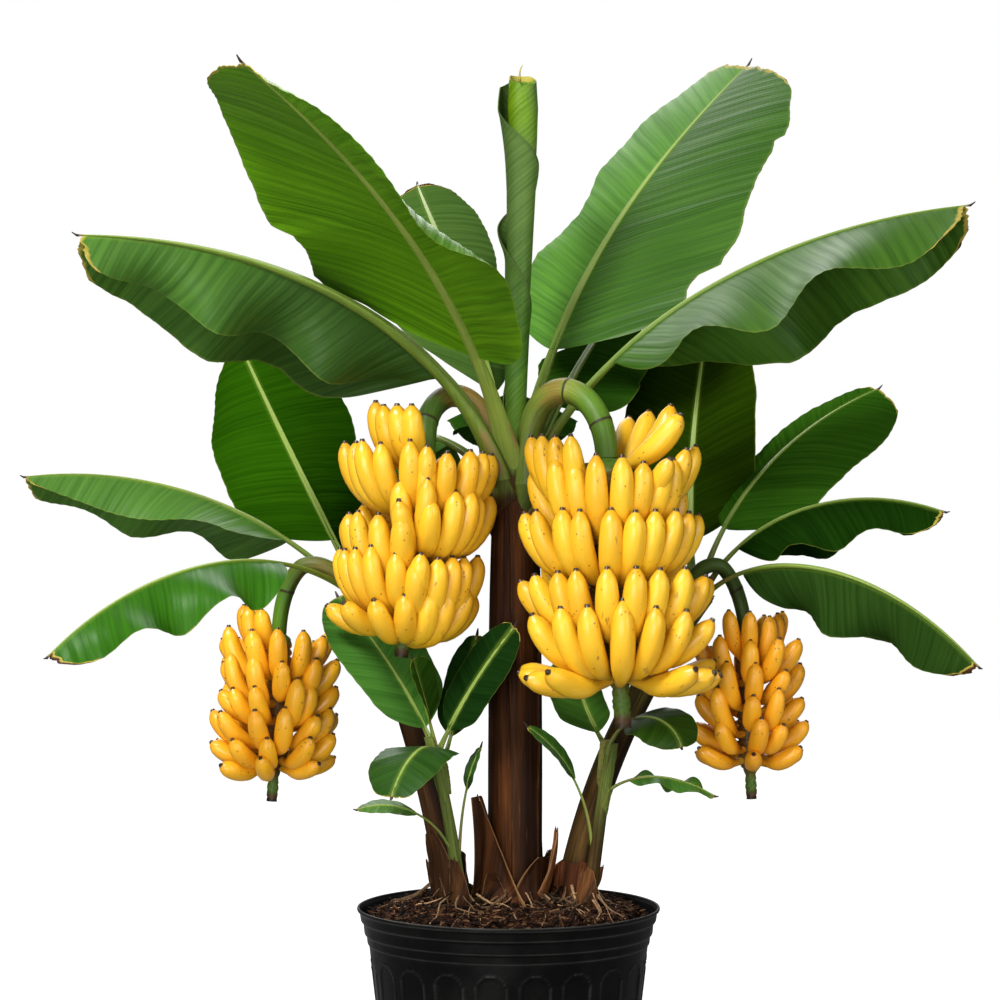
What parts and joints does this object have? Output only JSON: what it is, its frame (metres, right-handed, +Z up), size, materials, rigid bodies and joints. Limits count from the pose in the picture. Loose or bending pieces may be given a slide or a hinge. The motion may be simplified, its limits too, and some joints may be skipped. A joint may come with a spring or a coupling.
{
  "type": "dwarf banana plant in a nursery pot",
  "caption": "Clump of fruiting dwarf banana stems with arching blades, hanging bunches of ripe fruit and green suckers, growing in a black nursery pot.",
  "frame": {"origin": "centre of the pot's flat underside", "axes": "+Z up, -Y the front of the plant as the picture shows it, +X the right of that view"},
  "size_m": [1.4332, 1.2444, 1.7533],
  "materials": {
    "leaf": "satin",
    "new_leaf": "satin",
    "fruit": "satin",
    "stalk": "satin",
    "brown_stem": "matte",
    "green_stem": "satin",
    "pot": "satin",
    "soil": "matte"
  },
  "bodies": {
    "root": {"bunch_far_left": "fruit", "bunch_far_right": "fruit", "bunch_left": "fruit", "bunch_right": "fruit", "leaf_back_left_drooping": "leaf", "leaf_back_left_tall": "leaf", "leaf_back_middle": "leaf", "leaf_back_right_drooping": "leaf", "leaf_back_right_high": "leaf", "leaf_left_arching": "leaf", "leaf_left_stem_arching": "leaf", "leaf_left_stem_back": "leaf", "leaf_left_stem_drooping": "leaf", "leaf_left_stem_tall": "leaf", "leaf_right_arching": "leaf", "leaf_right_stem_arching": "leaf", "leaf_right_stem_back": "leaf", "leaf_right_stem_drooping": "leaf", "leaf_right_stem_tall": "leaf", "leaf_right_stem_upper": "leaf", "leaf_right_sucker_low_left": "leaf", "leaf_right_sucker_low_right": "leaf", "leaf_right_sucker_side": "leaf", "leaf_right_sucker_upright": "leaf", "leaf_rolled": "new_leaf", "leaf_sucker_back": "leaf", "leaf_sucker_front": "leaf", "leaf_sucker_large": "leaf", "leaf_sucker_low_left": "leaf", "leaf_sucker_low_right": "leaf", "leaf_sucker_right": "leaf", "leaf_sucker_upright": "leaf", "leaf_upper_left": "leaf", "leaf_upper_right": "leaf", "pot": "pot", "soil": "soil", "stalk_far_left_hanging": "stalk", "stalk_far_left_rising": "stalk", "stalk_far_right_hanging": "stalk", "stalk_far_right_rising": "stalk", "stalk_left_hanging": "stalk", "stalk_left_rising": "stalk", "stalk_right_hanging": "stalk", "stalk_right_rising": "stalk", "stem_left": "brown_stem", "stem_left_sucker": "green_stem", "stem_main": "brown_stem", "stem_right": "brown_stem", "stem_right_sucker": "green_stem"}
  },
  "joints": []
}
